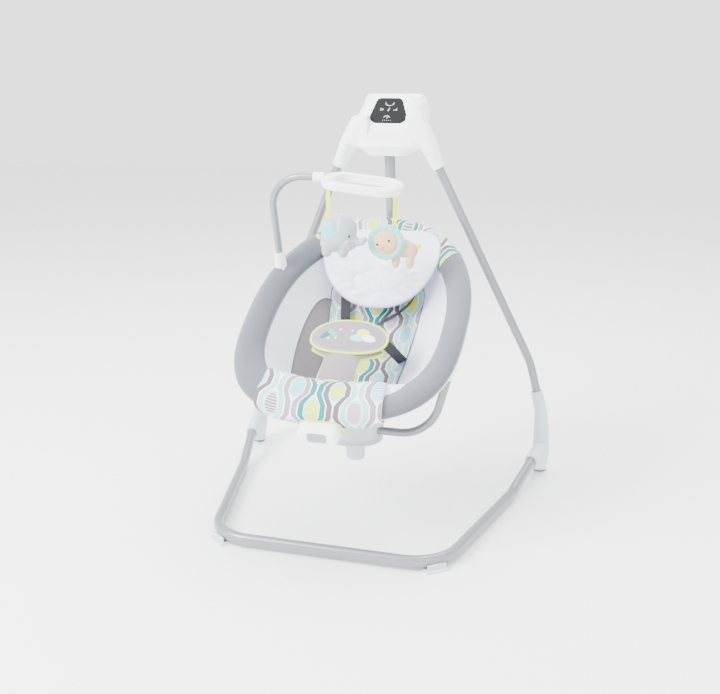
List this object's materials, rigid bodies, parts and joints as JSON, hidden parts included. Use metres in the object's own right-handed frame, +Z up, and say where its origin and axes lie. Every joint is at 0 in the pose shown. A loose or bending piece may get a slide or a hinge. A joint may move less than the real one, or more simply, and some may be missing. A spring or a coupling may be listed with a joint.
{
  "type": "baby swing",
  "caption": "Free-standing electric baby swing: arched frame with a motor head, a hanging arm with a turning hub, and a padded oval seat with a toy bar.",
  "frame": {"origin": "centre of the footprint, on the floor", "axes": "+Z up, -Y towards the footrest, +X across"},
  "size_m": [0.8716, 0.7308, 1],
  "materials": {
    "steel_grey": "satin light grey powder coat",
    "white_plastic": "soft gloss white",
    "pale_plastic": "pale grey, fine grain",
    "dark_plastic": "dark grey, fine grain",
    "lime_plastic": "pale lime",
    "plain_steel": "zinc plated",
    "rubber": "matt",
    "board": "green",
    "copper": "enamelled wire",
    "cell": "plain sleeve",
    "velour": "short grey pile",
    "panel_cloth": "smooth off-white knit",
    "print_cloth": "patterned knit",
    "lime_band": "pale lime ribbon",
    "webbing": "dark grey webbing",
    "plush_grey": "pale grey plush",
    "plush_beige": "beige plush"
  },
  "bodies": {
    "frame": {"base_tube": "steel_grey", "leg_tube_left": "steel_grey", "leg_tube_right": "steel_grey", "boot_left": "pale_plastic", "boot_right": "pale_plastic", "sole_pads": "rubber", "front_foot_left": "white_plastic", "front_foot_right": "white_plastic", "leg_lock_pins": "plain_steel", "head_front": "white_plastic", "head_rear": "white_plastic", "control_panel": "dark_plastic", "circuit_board": "board", "battery_door": "white_plastic", "battery_tray": "dark_plastic", "battery_cells": "cell", "drive_coil": "copper", "swing_axle": "plain_steel", "axle_bearings": "dark_plastic", "head_screws": "plain_steel"},
    "pendulum": {"arm_hanger": "plain_steel", "drive_magnet": "dark_plastic", "swing_arm": "steel_grey", "hub_base": "pale_plastic"},
    "knob": {"release_knob": "pale_plastic"},
    "carrier": {"hub_bell": "pale_plastic", "hub_cap": "pale_plastic", "hub_screws": "plain_steel", "cradle_tube_left": "steel_grey", "cradle_tube_right": "steel_grey", "side_connector_left": "white_plastic", "side_connector_right": "white_plastic"},
    "seat": {"ring_tube": "steel_grey", "recline_lug_left": "plain_steel", "recline_lug_right": "plain_steel", "rim_bolster": "velour", "seat_bucket": "panel_cloth", "body_pad": "print_cloth", "footrest_pad": "print_cloth", "vibration_housing": "white_plastic", "vibration_motor": "plain_steel", "headrest_pillow": "panel_cloth", "belly_pad": "velour", "crotch_pad": "velour", "shoulder_straps": "webbing", "waist_straps": "webbing", "harness_buckle": "dark_plastic", "toy_bar_socket": "white_plastic"},
    "vibration_key": {"vibration_button": "pale_plastic"},
    "buckle_key": {"buckle_release": "dark_plastic"},
    "toy_bar": {"toy_bar_tube": "steel_grey", "bar_branch": "white_plastic", "toy_ring": "white_plastic", "strap_buttons": "lime_plastic"},
    "elephant": {"elephant_strap": "lime_band", "elephant_toy": "plush_grey"},
    "lion": {"lion_strap": "lime_band", "lion_toy": "plush_beige"}
  },
  "joints": [
    {"name": "swing_pivot", "type": "hinge", "parent": "frame", "child": "pendulum", "pos_m": [0, 0.264, 0.93], "axis": [0, 1, 0], "range_deg": [-12, 12]},
    {"name": "seat_swivel", "type": "hinge", "parent": "pendulum", "child": "carrier", "pos_m": [0, -0.06, 0.21], "axis": [0, 0, 1], "range_deg": [-90, 90]},
    {"name": "knob_press", "type": "slide", "parent": "pendulum", "child": "knob", "axis": [0, 0, -1], "range_m": [0, 0.006], "stiffness_N_per_m": 400, "springref_m": -0.003},
    {"name": "seat_recline", "type": "hinge", "parent": "carrier", "child": "seat", "pos_m": [0, -0.06, 0.44], "axis": [1, 0, 0], "range_deg": [0, 12]},
    {"name": "vibration_press", "type": "slide", "parent": "seat", "child": "vibration_key", "axis": [0, 0.9511, 0.309], "range_m": [0, 0.0015], "stiffness_N_per_m": 600, "springref_m": -0.001},
    {"name": "buckle_press", "type": "slide", "parent": "seat", "child": "buckle_key", "axis": [0, 0.848, 0.5299], "range_m": [0, 0.0025], "stiffness_N_per_m": 600, "springref_m": -0.001},
    {"name": "toy_bar_swivel", "type": "hinge", "parent": "seat", "child": "toy_bar", "pos_m": [-0.2291, 0.05836, 0.58271], "axis": [0, -0.2785, 0.9604], "range_deg": [-90, 0]},
    {"name": "elephant_hang", "type": "hinge", "parent": "toy_bar", "child": "elephant", "pos_m": [-0.06771, -0.04999, 0.78969], "axis": [1, 0, 0], "range_deg": [-25, 25]},
    {"name": "lion_hang", "type": "hinge", "parent": "toy_bar", "child": "lion", "pos_m": [0.08246, -0.01215, 0.77907], "axis": [1, 0, 0], "range_deg": [-25, 25]}
  ]
}
